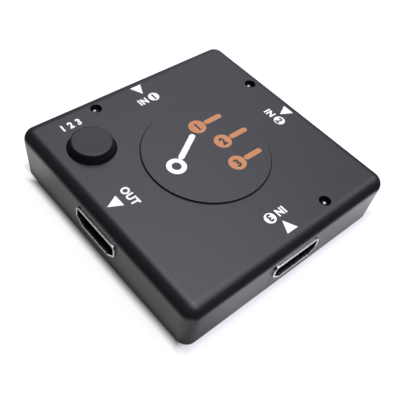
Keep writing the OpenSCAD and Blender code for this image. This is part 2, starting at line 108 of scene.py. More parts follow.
# Places of the printed marks from the middle of the top, with their turns in degrees
POINTERS = {"in1": (mm(0.3, 29.25), 180), "in2": (mm(29.25, -0.45), 90), "in3": (mm(0.27, -29.25), 0),
            "out": (mm(-26.03, -0.05), 90)}
LABELS = {"in1": (mm(0.25, 23.4), 0), "in2": (mm(23.95, -0.3), -90), "in3": (mm(0.2, -23.8), 180)}
OUT_WORD = (mm(-23.3, -0.25), -90)
BUTTON_NUMBERS = (mm(-21.7, 26.2), 0)

# Lettering: share of the font's size that a capital takes, added weight, spacing and width
FONT_CAPITAL = 0.73
FONT_WEIGHT = 0.06
FONT_SPACING = 1.12
FONT_WIDTH = 0.88

# Tilts of the painted highlight, a pale cap on each lamp, about X and Y, in degrees
GLINT_TILTS = {"in1": (-2, -18), "in2": (-2, -18), "in3": (7, -8)}

# Painted shade in the crease round the disc: how far out its middle is, half its width and half the width of
# its core
CREASE_SHADE_OUT = 0.1 * MM
CREASE_SHADE_REACH = 0.19 * MM
CREASE_SHADE_CORE = 0.08 * MM

# Rings of the hollow in the button's top, as shares of its radius
DISH_RINGS = (0.85, 0.65, 0.4, 0.2)

# Shape of a holding spring: shares of its length, with the bend at each
SPRING_BENDS = ((0.15, 0.0), (0.35, 0.35), (0.55, 0.8), (0.68, 1.0), (0.8, 0.85), (1.0, 0.2))

# Soft boxes of the room: the way each one hangs and its brightness
SOFT_BOXES = (((0.2, 0.35, 0.91), 2.58), ((0.2, -0.35, 0.91), 3.1), ((0, 0, 1), 1.77),
              ((0.69, 0.28, 0.67), 0.5), ((0.67, 0.67, 0.31), 0.54))

# Materials by name, made by the first operator
FINISHES = {}


# Properties

def length(name, description, default):
    return FloatProperty(name=name, description=description, default=default, unit="LENGTH", precision=5)


def rotation(name, description, degrees):
    return FloatProperty(name=name, description=description, default=math.radians(degrees), unit="ROTATION")


def amount(name, description, default, unit="NONE"):
    return FloatProperty(name=name, description=description, default=default, unit=unit)


def colour(name, description, default):
    return FloatVectorProperty(name=name, description=description, default=default, subtype="COLOR",
                               size=3, min=0, max=1)


class CaseSizes(PropertyGroup):
    """Sizes of the moulded case"""
    top: length("Top", "Height of the flat top above the table", 15 * MM)
    wall: length("Wall", "Thickness of the side walls", 1.8 * MM)
    roof: length("Roof", "Thickness of the top wall", 1.8 * MM)
    corner: length("Corner radius", "Radius of the upright corners", 3.3 * MM)
    edge: length("Edge radius", "Radius of the rounded edge round the top", 3.2 * MM)
    foot: length("Foot radius", "Radius of the edge round the underside", 1 * MM)
    hollow_corner: length("Inner corner radius", "Radius inside the upright corners", 1.5 * MM)
    hollow_edge: length("Inner edge radius", "Radius inside the top edge", 1.2 * MM)
    draft: rotation("Draft", "Slope of the side walls", 2.3)
    disc: length("Disc radius", "Radius of the raised disc", 16.1 * MM)
    disc_edge: length("Disc edge", "Radius of the disc's top edge", 0.12 * MM)
    hole_edge: length("Hole edge", "Radius of the edge round each hole", 0.18 * MM)
    boss: length("Boss radius", "Radius of the screw bosses", 2.4 * MM)
    pilot: length("Pilot radius", "Radius of the screw holes in the bosses", 0.98 * MM)
    pilot_top: length("Pilot depth", "Height that the screw holes reach", 9.4 * MM)
    screw_inset: length("Screw inset", "Distance from the screws to the sides", 6 * MM)
    notch: length("Notch half width", "Half the width of the socket notches", 7.5 * MM)
    notch_top: length("Notch height", "Height of the socket notches", 10.6 * MM)
    notch_corner: length("Notch corners", "Radius of the upper corners of the notches", 1.35 * MM)


class ButtonSizes(PropertyGroup):
    """Sizes of the selector button"""
    radius: length("Radius", "Radius of the button in its hole", 5.7 * MM)
    edge: length("Edge radius", "Radius of the button's top edge", 0.5 * MM)
    slope: rotation("Slope", "Slope of the button's side above the case", 19)
    dish: length("Dish", "Depth of the hollow in the button's top", 0.06 * MM)
    wall: length("Wall", "Thickness of the button's wall", 1.2 * MM)
    flange: length("Flange", "Thickness of the flange", 0.9 * MM)
    play: length("Play", "Gap between the flange and the case", 0.15 * MM)
    gap: length("Gap", "Gap between the button and its hole", 0.2 * MM)
    stem: length("Stem radius", "Radius of the stem", 2 * MM)
    soft: length("Small radius", "Radius of the small edges", 0.15 * MM)


class SocketSizes(PropertyGroup):
    """Sizes of the video sockets"""
    width: length("Width", "Width of the opening", 14 * MM)
    height: length("Height", "Height of the opening", 4.6 * MM)
    low_width: length("Lower width", "Width of the opening's lower side", 9.6 * MM)
    side: length("Side height", "Height of the upright sides", 2.8 * MM)
    corner: length("Corner radius", "Radius of the opening's corners", 0.8 * MM)
    steel: length("Steel", "Thickness of the shell", 0.35 * MM)
    rim: length("Rim", "How far the rim stands out round the shell", 0.12 * MM)
    rim_length: length("Rim length", "Length of the rim", 0.8 * MM)
    lip: length("Lip radius", "Radius of the rim's edges", 0.1 * MM)
    spring_width: length("Spring width", "Width of a holding spring", 1.5 * MM)
    spring_steel: length("Spring steel", "Thickness of a holding spring", 0.28 * MM)
    spring_length: length("Spring length", "Length of a holding spring", 4.6 * MM)
    spring_rise: length("Spring rise", "How far a spring bends into the opening", 0.45 * MM)
    spring_place: length("Spring place", "Distance of the springs from the middle", 3.4 * MM)
    spring_low: length("Lower spring place", "Distance of the lower springs from the middle", 2.38 * MM)
    spring_start: length("Spring start", "Distance from the rim to the springs", 1.6 * MM)
    leg_length: length("Leg length", "Length of a solder leg along the socket", 1.2 * MM)
    leg_first: length("First leg", "Distance from the rim to the first legs", 4.8 * MM)
    leg_pitch: length("Leg pitch", "Distance between the pairs of legs", 4.8 * MM)


class LampSizes(PropertyGroup):
    """Sizes of the pilot lamps"""
    radius: length("Radius", "Radius of the lens", 1.45 * MM)
    rim: length("Rim radius", "Radius of the lens' rim", 1.9 * MM)
    rim_height: length("Rim height", "Height of the lens' rim", 1 * MM)
    soft: length("Small radius", "Width of the rim's broken edges", 0.08 * MM)
    gap: length("Gap", "Gap between a lamp and its hole", 0.05 * MM)
    hole_edge: length("Hole edge", "Radius of the edge round each lamp's hole", 0.05 * MM)
    # the glint is a painted highlight, a pale cap that stands a film out of the lens
    glint: length("Glint radius", "Radius of the pale spot on the lens", 0.33 * MM)
    film: length("Glint film", "How far the pale spot stands out of the lens", 0.01 * MM)


class FittingSizes(PropertyGroup):
    """Sizes of the small edges of the cover and the fittings"""
    cover: length("Cover edge", "Width of the cover's edges", 0.05 * MM)
    screw: length("Screw edge", "Width of the screws' edges", 0.06 * MM)
    insert: length("Insert edge", "Width of the edges of the socket inserts", 0.06 * MM)
    plunger: length("Plunger edge", "Width of the plunger's edges", 0.08 * MM)


class PrintSizes(PropertyGroup):
    """Sizes of the printed marks"""
    thickness: length("Ink", "Thickness of the ink", 0.02 * MM)
    capital: length("Letters", "Height of the letters", 2.08 * MM)
    bullet: length("Bullet radius", "Radius of the numbered bullets", 1.5 * MM)
    bullet_aside: length("Bullet place", "Distance from a label's middle to its word and bullet", 1.75 * MM)
    pointer: length("Pointer", "Width and height of the pointers", 3.4 * MM)


class SignSizes(PropertyGroup):
    """Sizes of the selector sign on the disc"""
    aside: length("Aside", "How far the pivot stands right of the disc's middle", -9.2 * MM)
    above: length("Above", "How far the pivot stands above the disc's middle", 0.4 * MM)
    pivot: length("Pivot radius", "Radius of the pivot", 2.5 * MM)
    pivot_hole: length("Pivot hole", "Radius of the hole in the pivot", 1.2 * MM)
    reach: length("Reach", "Distance from the pivot to the contacts", 15 * MM)
    spread: rotation("Spread", "Angle between two contacts", 30)
    contact: length("Contact radius", "Radius of the contacts", 2.3 * MM)
    digit: length("Digits", "Height of the digits", 2.4 * MM)
    stroke: length("Stroke", "Width of the lever and the tails", 1.5 * MM)
    lever_start: length("Lever start", "Distance from the pivot to the lever's start", 3.3 * MM)
    lever_end: length("Lever end", "Distance from the pivot to the lever's end", 11.2 * MM)
    tail_start: length("Tail start", "Distance from a contact to its tail", 3.2 * MM)
    tail_end: length("Tail end", "Distance from the disc's middle to the end of the middle tail", 13.2 * MM)
    tail_cut: length("Tail cut", "How much sooner the outer tails end", 2.1 * MM)


class Colours(PropertyGroup):
    """Colours of the finishes"""
    case: colour("Case", "Black moulded plastic", (0.0135, 0.0138, 0.0148))
    button: colour("Button", "Black moulded plastic of the button", (0.006, 0.0062, 0.0066))
    insert: colour("Insert", "Black plastic in the sockets", (0.006, 0.006, 0.0062))
    chip: colour("Chip", "Black resin of the chips", (0.016, 0.016, 0.017))
    # the lamp resin is painted near black: painted shade of the dark hole below the lens
    lamp: colour("Lamp", "Smoky resin of the lamps", (0.006, 0.006, 0.007))
    steel: colour("Steel", "Bright plated steel", (0.74, 0.735, 0.72))
    tin: colour("Tin", "Tinned leads", (0.68, 0.68, 0.67))
    gold: colour("Gold", "Gold flash on the contacts", (0.83, 0.6, 0.24))
    bronze: colour("Bronze", "Bronze of the switch's dome", (0.68, 0.46, 0.2))
    solder: colour("Solder", "Tinned ends of the chip parts", (0.7, 0.7, 0.69))
    resistor: colour("Resistor", "Black bodies of the resistors", (0.02, 0.02, 0.022))
    capacitor: colour("Capacitor", "Brown bodies of the capacitors", (0.42, 0.28, 0.14))
    ink: colour("White ink", "White printed marks", (0.97, 0.95, 0.9))
    accent: colour("Orange ink", "Orange printed marks", (0.54, 0.215, 0.075))
    board: colour("Board", "Green solder mask", (0.012, 0.085, 0.042))
    board_edge: colour("Board edge", "Bare laminate at the board's edges", (0.33, 0.27, 0.13))
    floor: colour("Floor", "Table top", (0.2, 0.2, 0.2))


class StageSizes(PropertyGroup):
    """Camera and light"""
    azimuth: rotation("Azimuth", "Way the camera looks from, about Z", -49.1867)
    elevation: rotation("Elevation", "Height angle of the camera", 49.6706)
    roll: rotation("Roll", "Turn of the camera about its own axis", 10.7078)
    distance: length("Distance", "Distance from the camera to the middle of the base", 156.8933 * MM)
    aside: length("Aside", "How far the object stands right of the picture's middle", -0.2431 * MM)
    above: length("Above", "How far the object stands above the picture's middle", 2.006 * MM)
    lens: amount("Lens", "Focal length, in millimetres", 53.5112, "CAMERA")
    film: amount("Film", "Width of the camera's frame, in millimetres", 36, "CAMERA")
    ambient: amount("Ambient", "Brightness of the dim room", 0.06)
    glow: amount("Floor glow", "Light that the floor adds for the camera and in mirrors", 0.925)
    box_reach: rotation("Soft box reach", "Angle at which a soft box ends", 34)
    box_tint: colour("Soft box tint", "Colour of the soft boxes", (0.865, 0.87, 1.0))
    floor_tint: colour("Floor tint", "Colour of the light off the floor", (0.955, 0.92, 1.0))
    key_place: FloatVectorProperty(name="Key lamp", description="Place of the key lamp",
                                   default=(0.6, -0.12, 0.5), subtype="TRANSLATION", unit="LENGTH")
    key_side: length("Key size", "Side of the key lamp", 0.35)
    key_power: amount("Key power", "Power of the key lamp", 0.5, "POWER")
    floor_side: length("Floor", "Side of the white table top", 0.1)


class SwitchBox(PropertyGroup):
    """All sizes and colours of the switch box"""
    case: PointerProperty(type=CaseSizes)
    button: PointerProperty(type=ButtonSizes)
    socket: PointerProperty(type=SocketSizes)
    lamp: PointerProperty(type=LampSizes)
    fitting: PointerProperty(type=FittingSizes)
    print: PointerProperty(type=PrintSizes)
    sign: PointerProperty(type=SignSizes)
    colours: PointerProperty(type=Colours)
    stage: PointerProperty(type=StageSizes)


# Modelling with operators

def clear_selection():
    """Leaves edit mode and deselects everything."""
    active = bpy.context.view_layer.objects.active
    if active is not None and active.mode != "OBJECT":
        bpy.ops.object.mode_set(mode="OBJECT")
    bpy.ops.object.select_all(action="DESELECT")


def activate(piece):
    """Selects one piece alone and makes it the active one."""
    clear_selection()
    piece.select_set(True)
    bpy.context.view_layer.objects.active = piece


def edit(piece):
    activate(piece)
    bpy.ops.object.mode_set(mode="EDIT")


def settle(piece):
    """Puts a piece's place into its mesh."""
    activate(piece)
    bpy.ops.object.transform_apply(location=True, rotation=True, scale=True)
    return piece


def rename(piece, name):
    """Names a piece and its mesh."""
    piece.name = name
    piece.data.name = name
    return piece


def start(primitive, name, **settings):
    """Adds a primitive at the origin under a name, with its turn in its mesh, and opens it in edit mode."""
    clear_selection()
    primitive(location=(0, 0, 0), **settings)
    piece = rename(bpy.context.view_layer.objects.active, name)
    settle(piece)
    edit(piece)
    return piece


def pick(piece, kind, test):
    """Selects the vertices, edges or faces that pass a test, in edit mode."""
    bpy.ops.mesh.select_mode(type=kind)
    bpy.ops.mesh.select_all(action="DESELECT")
    shape = bmesh.from_edit_mesh(piece.data)
    items = {"VERT": shape.verts, "EDGE": shape.edges, "FACE": shape.faces}[kind]
    for item in items:
        if test(item):
            item.select_set(True)
    shape.select_flush_mode()
    bmesh.update_edit_mesh(piece.data)


def pick_all():
    bpy.ops.mesh.select_mode(type="VERT")
    bpy.ops.mesh.select_all(action="SELECT")


def level(edge, z):
    """True where an edge lies at one height."""
    return all(abs(v.co.z - z) < TINY for v in edge.verts)


def upright(edge):
    """True where an edge's ends lie at two heights."""
    return abs(edge.verts[0].co.z - edge.verts[1].co.z) > TINY


def round_off(offset, segments, affect="EDGES"):
    """Bevels the edges or corners that are selected."""
    bpy.ops.mesh.bevel(offset_type="OFFSET", offset=offset, segments=segments, profile=0.5, affect=affect,
                       clamp_overlap=False)


def shift(x=0.0, y=0.0, z=0.0):
    bpy.ops.transform.translate(value=(x, y, z), orient_type="GLOBAL")


def slice_at(place, way, **settings):
    """Cuts what is selected along a plane."""
    bpy.ops.mesh.bisect(plane_co=place, plane_no=tuple(Vector(way).normalized()), threshold=MERGE, **settings)


def modify(piece, kind, **settings):
    """Adds a modifier and applies it."""
    activate(piece)
    modifier = piece.modifiers.new(kind.title(), kind)
    for key, value in settings.items():
        setattr(modifier, key, value)
    bpy.ops.object.modifier_apply(modifier=modifier.name)


def combine(piece, tool, operation):
    """Adds one piece to another, or cuts it out, and removes it."""
    modify(piece, "BOOLEAN", operation=operation, solver="EXACT", object=tool)
    bpy.data.objects.remove(tool)


def join(pieces, name):
    """Joins pieces into the first one."""
    clear_selection()
    for piece in pieces:
        piece.select_set(True)
    bpy.context.view_layer.objects.active = pieces[0]
    bpy.ops.object.join()
    return rename(pieces[0], name)


def copy_of(piece, name):
    """Copy of a piece, with its own mesh."""
    activate(piece)
    bpy.ops.object.duplicate(linked=False)
    return rename(bpy.context.view_layer.objects.active, name)


def turned_copy(piece, name, degrees):
    """Copy of a piece, turned about the upright axis of the case."""
    copy = copy_of(piece, name)
    copy.rotation_euler = (0, 0, math.radians(degrees))
    return settle(copy)


def tidy(piece):
    """Merges doubles and points the faces outwards."""
    edit(piece)
    pick_all()
    bpy.ops.mesh.remove_doubles(threshold=MERGE)
    bpy.ops.mesh.normals_make_consistent(inside=False)
    clear_selection()


def smooth(piece, degrees=32):
    """Smooth shading that keeps sharp edges and flat faces."""
    activate(piece)
    bpy.ops.object.shade_smooth_by_angle(angle=math.radians(degrees))
    modify(piece, "WEIGHTED_NORMAL", keep_sharp=True, weight=60)


def arc(centre, radius, begin, end, steps):
    """Points of an arc in (radius, height), angles in degrees from outward."""
    points = []
    for i in range(steps + 1):
        angle = math.radians(begin + (end - begin) * i / steps)
        points.append((centre[0] + radius * math.cos(angle), centre[1] + radius * math.sin(angle)))
    return points


def spun(name, profile, centre, steps):
    """Turned piece: a line of (radius, height) points is drawn by extruding and spun round."""
    piece = start(bpy.ops.mesh.primitive_plane_add, name, size=MM)
    pick_all()
    bpy.ops.mesh.merge(type="CENTER")
    place = Vector((centre[0] + profile[0][0], centre[1], profile[0][1]))
    shift(*place)
    for radius, height in profile[1:]:
        target = Vector((centre[0] + radius, centre[1], height))
        bpy.ops.mesh.extrude_vertices_move(TRANSFORM_OT_translate={"value": tuple(target - place)})
        place = target
    pick_all()
    bpy.ops.mesh.spin(steps=steps, angle=2 * math.pi, center=(centre[0], centre[1], 0), axis=(0, 0, 1))
    tidy(piece)
    return piece


def box_piece(name, low, high):
    """Plain block between two corners, left in edit mode for shaping."""
    low = Vector(low)
    high = Vector(high)
    piece = start(bpy.ops.mesh.primitive_cube_add, name, size=1)
    pick_all()
    bpy.ops.transform.resize(value=tuple(high - low), center_override=(0, 0, 0))
    shift(*((high + low) / 2))
    return piece


def drafted_block(name, half, corner, low, high, edge, foot, draft):
    """Square block with round corners, drafted sides, a rounded top edge and a rounded foot."""
    rise = high - low
    reach = math.cos(draft) * (corner - edge) - math.sin(draft) * (rise - edge) + edge
    top_r = (reach + math.sin(draft) * rise) / math.cos(draft)
    low_r = reach / math.cos(draft)
    core = half - corner
    wide = core + top_r
    piece = box_piece(name, (-wide, -wide, low), (wide, wide, high))
    pick(piece, "EDGE", upright)
    round_off(top_r, segments=12)
    shrink = low_r / top_r
    for sx, sy in QUARTERS:
        pick(piece, "VERT", lambda v: abs(v.co.z - low) < TINY and v.co.x * sx > 0 and v.co.y * sy > 0)
        bpy.ops.transform.resize(value=(shrink, shrink, 1), center_override=(core * sx, core * sy, low))
    pick(piece, "EDGE", lambda e: level(e, high))
    round_off(edge / math.tan((math.pi / 2 - draft) / 2), segments=12)
    if foot > 0:
        pick(piece, "EDGE", lambda e: level(e, low))
        round_off(foot / math.tan((math.pi / 2 + draft) / 2), segments=4)
    tidy(piece)
    return piece


def flared_cutter(name, radius, flare, low, top, centre):
    """Cutter for a round hole whose upper edge is rounded."""
    profile = [(0, low), (radius, low)]
    profile += arc((radius + flare, top - flare), flare, 180, 90, steps=5)
    profile += [(radius + flare, top + MM), (0, top + MM)]
    return spun(name, profile, centre, HOLE_STEPS)


def paint(piece, finish):
    """Gives a piece one finish alone."""
    piece.data.materials.clear()
    piece.data.materials.append(FINISHES[finish])


def dress(piece, body, slot, *nodes, finish=None):
    """Gives a finished piece its finish, named by its slot unless another is given, puts it under its body
    and hides the CAD nodes that it stands for.
    """
    paint(piece, finish or slot)
    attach(piece, body)
    if nodes:
        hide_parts(*nodes)
    return piece


# Materials

class Signal:
    """Output of a shader node that takes part in Python sums."""

    def __init__(self, finish, socket):
        self.finish = finish
        self.socket = socket

    def math(self, operation, *others):
        values = dict(enumerate((self,) + others))
        return self.finish.node("ShaderNodeMath", {"operation": operation}, values)

    def __add__(self, other):
        return self.math("ADD", other)

    __radd__ = __add__

    def __sub__(self, other):
        return self.math("SUBTRACT", other)

    def __rsub__(self, other):
        return self.finish.node("ShaderNodeMath", {"operation": "SUBTRACT"}, {0: other, 1: self})

    def __mul__(self, other):
        return self.math("MULTIPLY", other)

    __rmul__ = __mul__

    def __abs__(self):
        return self.math("ABSOLUTE")

    def __gt__(self, other):
        return self.math("GREATER_THAN", other)

    def __lt__(self, other):
        return self.math("LESS_THAN", other)

    def most(self, other):
        return self.math("MAXIMUM", other)

    def least(self, other):
        return self.math("MINIMUM", other)

    def part(self):
        return self.math("FRACT")

    def ramp(self, low, high):
        """0 at low, 1 at high, smooth between and steady beyond them; low may be the greater one."""
        settings = {"interpolation_type": "SMOOTHSTEP", "clamp": True}
        values = {"Value": self, "From Min": low, "From Max": high}
        return self.finish.node("ShaderNodeMapRange", settings, values)


class Nodes:
    """A node tree with short calls for adding and linking nodes."""

    def __init__(self, tree):
        self.tree = tree
        self.tree.nodes.clear()

    def fill(self, socket, value):
        """Links a signal to a socket, or sets the socket's value."""
        if isinstance(value, Signal):
            self.tree.links.new(value.socket, socket)
        elif socket.type == "RGBA":
            socket.default_value = tuple(value)[:3] + (1.0,)
        else:
            socket.default_value = value

    def node(self, kind, settings=None, values=None, output=0):
        """Adds a node, sets it up and returns one of its outputs."""
        made = self.tree.nodes.new(kind)
        for key, value in (settings or {}).items():
            setattr(made, key, value)
        for key, value in (values or {}).items():
            self.fill(made.inputs[key], value)
        return Signal(self, made.outputs[output])

    def mix(self, first, second, share):
        """Colour between two colours."""
        return self.node("ShaderNodeMix", {"data_type": "RGBA"}, {0: share, 6: first, 7: second}, output=2)

    def rays(self):
        """1 where the camera looks, and 1 in mirrors and lenses."""
        rays = self.node("ShaderNodeLightPath").socket.node.outputs
        names = ("Is Camera Ray", "Is Glossy Ray", "Is Transmission Ray")
        camera, glossy, through = (Signal(self, rays[name]) for name in names)
        return camera, glossy.most(through)


class Finish(Nodes):
    """One material: a Principled shader and the nodes that feed it."""

    def __init__(self, name, **values):
        self.material = bpy.data.materials.new(name)
        self.material.use_nodes = True
        super().__init__(self.material.node_tree)
        self.shader = self.tree.nodes.new("ShaderNodeBsdfPrincipled")
        output = self.tree.nodes.new("ShaderNodeOutputMaterial")
        self.tree.links.new(self.shader.outputs[0], output.inputs["Surface"])
        self.set(**values)
        self.place = self.node("ShaderNodeTexCoord", output="Object")

    def set(self, **values):
        """Sets or links the shader's sockets; an underscore stands for a space."""
        for key, value in values.items():
            self.fill(self.shader.inputs[key.replace("_", " ")], value)

    def axes(self):
        """X and Y of the point, in metres."""
        split = self.node("ShaderNodeSeparateXYZ", values={0: self.place}).socket.node
        return [Signal(self, split.outputs[name]) for name in "XY"]

    def noise(self, size, stretch=(1, 1, 1), detail=3.0):
        """Noise from 0 to 1 with features of a size in metres, longer along the axes that stretch names."""
        scale = tuple(1 / (size * s) for s in stretch)
        place = self.node("ShaderNodeMapping", values={"Vector": self.place, "Scale": scale})
        return self.node("ShaderNodeTexNoise", values={"Vector": place, "Scale": 1.0, "Detail": detail})

    def bump(self, height, depth, strength=1.0):
        """Relief of a depth in metres."""
        self.set(Normal=self.node("ShaderNodeBump", values={
            "Height": height, "Distance": depth, "Strength": strength}))
        return self.material


def scaled(rgb, factor):
    return tuple(min(1.0, c * factor) for c in rgb)


def moulded(name, rgb, rough, grain, depth, crease=0.0):
    """Moulded plastic: fine grain, faint flow marks, dust, small scuffs and painted shade in a round crease.
    """
    finish = Finish(name, Specular_IOR_Level=0.5)
    flow = finish.noise(9 * MM, detail=2.0)
    fine = finish.noise(grain)
    specks = finish.noise(0.35 * MM, detail=1.0).ramp(0.74, 0.8)
    scuffs = finish.noise(0.5 * MM, (14, 1, 1)).ramp(0.68, 0.8)
    body = finish.mix(scaled(rgb, 0.88), scaled(rgb, 1.12), flow)
    dust_and_crease_shade = finish.mix(body, scaled(rgb, 2.2), specks * 0.35)
    skin = rough + 0.06 * (fine - 0.5) + 0.04 * (flow - 0.5) - 0.05 * scuffs
    if crease > 0:
        x, y = finish.axes()
        out = (x * x + y * y).math("SQRT") - crease
        # painted shade: a dark, rougher ring in the crease round the disc
        crease_shade = abs(out - CREASE_SHADE_OUT).ramp(CREASE_SHADE_REACH, CREASE_SHADE_CORE)
        dust_and_crease_shade = finish.mix(dust_and_crease_shade, (0, 0, 0), crease_shade)
        skin = skin + 0.6 * crease_shade
    finish.set(Base_Color=dust_and_crease_shade, Roughness=skin)
    return finish.bump(fine, depth, 0.6)


def plated(name, rgb, rough, stretch, stain=0.85, painted_shade_end=0.0):
    """Plated metal: rolling streaks, faint stains and a fine uneven skin, bright from a distance outwards,
    with painted shade nearer the middle.
    """
    finish = Finish(name, Metallic=1.0)
    streaks = finish.noise(0.12 * MM, stretch)
    stains = finish.noise(2.5 * MM)
    x, y = finish.axes()
    outside = abs(x).most(abs(y)).ramp(painted_shade_end - MM, painted_shade_end)
    tone = finish.mix(scaled(rgb, stain), rgb, stains.ramp(0.3, 0.6))
    bright = finish.mix(tone, scaled(rgb, 1.08), streaks * 0.4)
    # painted shade: nearer the middle than that distance, the metal is darkened to 0.12 of its colour
    finish.set(Base_Color=finish.mix(scaled(rgb, 0.12), bright, outside),
               Roughness=rough + 0.12 * (streaks - 0.5) + 0.06 * (stains - 0.5))
    return finish.bump(streaks, 0.004 * MM, 0.5)


def printed(name, rgb):
    """Pad-printed ink: thin matt film with pinholes and a slightly uneven edge."""
    finish = Finish(name)
    cover = finish.noise(0.8 * MM)
    pinholes = finish.noise(0.09 * MM).ramp(0.7, 0.78)
    tone = finish.mix(scaled(rgb, 0.93), rgb, cover)
    finish.set(Base_Color=finish.mix(tone, scaled(rgb, 0.6), pinholes * 0.5),
               Roughness=0.5 + 0.1 * (cover - 0.5))
    return finish.bump(cover, 0.004 * MM, 0.4)


def resin(name, rgb):
    """Lamp resin painted near black as the shade of the hole below the lens, with a faint cloud."""
    finish = Finish(name, Specular_IOR_Level=0.1)
    cloud = finish.noise(0.7 * MM)
    finish.set(Base_Color=finish.mix(scaled(rgb, 0.5), rgb, cloud), Roughness=0.2 + 0.05 * cloud)
    return finish.bump(cloud, 0.002 * MM, 0.3)


def stripes(place, count):
    """Distance from the middle of a stripe, 0 to 0.5, where count stripes fill a metre."""
    return abs((place * count).part() - 0.5)


def laminate(name, rgb, edge):
    """Board: solder mask over a glass weave, faint tracks below it and bare laminate at the edges."""
    # threads and track lanes in a metre, and half a track's width as a share of its lane
    threads = 900
    lanes = 480
    width = 0.16
    finish = Finish(name, Coat_Weight=0.35, Coat_Roughness=0.15)
    x, y = finish.axes()
    weave = stripes(x, threads) + stripes(y, threads)
    cells = finish.noise(3 * MM, detail=0.0)
    tracks = (stripes(x, lanes) < width) * (cells > 0.5) + (stripes(y, lanes) < width) * (cells < 0.46)
    half = (BOARD_HIGH.x - BOARD_LOW.x) / 2
    rim = abs(x).most(abs(y)).ramp(half - 0.04 * MM, half - 0.02 * MM)
    mask = finish.mix(rgb, scaled(rgb, 1.7), tracks)
    finish.set(Base_Color=finish.mix(mask, edge, rim), Roughness=0.32 + 0.1 * weave)
    return finish.bump(weave + tracks, 0.01 * MM, 0.4)


def tinned_ends(name, rgb, solder, middle, ends, across):
    """Chip parts with tinned ends that lie at a distance from the case's middle, outwards or across."""
    finish = Finish(name)
    x, y = finish.axes()
    place = abs(x).least(abs(y)) if across else abs(x).most(abs(y))
    tin = abs(place - middle).ramp(ends - 0.03 * MM, ends + 0.03 * MM)
    cloud = finish.noise(0.3 * MM)
    body = finish.mix(scaled(rgb, 0.8), scaled(rgb, 1.15), cloud)
    finish.set(Base_Color=finish.mix(body, solder, tin), Metallic=tin,
               Roughness=0.34 + 0.12 * cloud + 0.08 * tin)
    return finish.bump(cloud, 0.01 * MM, 0.4)


class SWITCHBOX_OT_finishes(Operator):
    """Makes the finishes and dresses the CAD nodes with them"""
    bl_idname = "switchbox.finishes"
    bl_label = "Finishes"

    def execute(self, context):
        box = context.scene.switch_box
        tint = box.colours
        # colour, roughness, size and depth of the grain, radius of a crease with painted shade
        plastics = {
            "case_plastic": (tint.case, 0.33, 0.16 * MM, 0.012 * MM, box.case.disc),
            "cover_plastic": (tint.case, 0.33, 0.16 * MM, 0.012 * MM),
            "button_plastic": (tint.button, 0.46, 0.14 * MM, 0.01 * MM),
            "switch_plastic": (scaled(tint.insert, 1.5), 0.5, 0.2 * MM, 0.01 * MM),
            "insert_plastic": (tint.insert, 0.5, 0.12 * MM, 0.008 * MM),
            "chip_resin": (tint.chip, 0.55, 0.08 * MM, 0.012 * MM),
        }
        # colour, roughness, stretch of the streaks, tone of the stains, distance from which it is bright,
        # with painted shade within it
        metals = {
            # the steel deep inside each socket gets painted shade
            "socket_steel": (tint.steel, 0.24, (1, 1, 12), 0.85, -SHELL_LOW.y),
            "screw_steel": (scaled(tint.steel, 0.85), 0.32, (6, 6, 1), 0.7),
            "switch_steel": (tint.steel, 0.28, (12, 1, 1)),
            "tinned_lead": (tint.tin, 0.3, (1, 1, 4)),
            "contact_gold": (tint.gold, 0.22, (1, 1, 1)),
            "spring_bronze": (tint.bronze, 0.26, (10, 1, 1)),
        }
        # colours of the body and the ends, distance of the parts, half the length of a body, whether across
        ceramics = {
            "resistor_ceramic": (tint.resistor, tint.solder, 9.9 * MM, 0.55 * MM, False),
            "capacitor_ceramic": (tint.capacitor, tint.solder, 4 * MM, 0.65 * MM, True),
        }
        inks = {
            # a painted highlight on the lamps, in dimmed white ink
            "lamp_glint": (scaled(tint.ink, 0.62),),
            "white_ink": (tint.ink,),
            "orange_ink": (tint.accent,),
            "dark_ink": (scaled(tint.case, 1.2),),
        }
        kinds = ((moulded, plastics), (plated, metals), (tinned_ends, ceramics), (printed, inks),
                 (laminate, {"board_laminate": (tint.board, tint.board_edge)}),
                 (resin, {"lamp_resin": (tint.lamp,)}))
        for make, table in kinds:
            for name, values in table.items():
                FINISHES[name] = make(name, *values)
        for part in frame["record"]["subparts"]:
            paint(frame["nodes"][part["node"]], part["material_slot"])
        return {"FINISHED"}


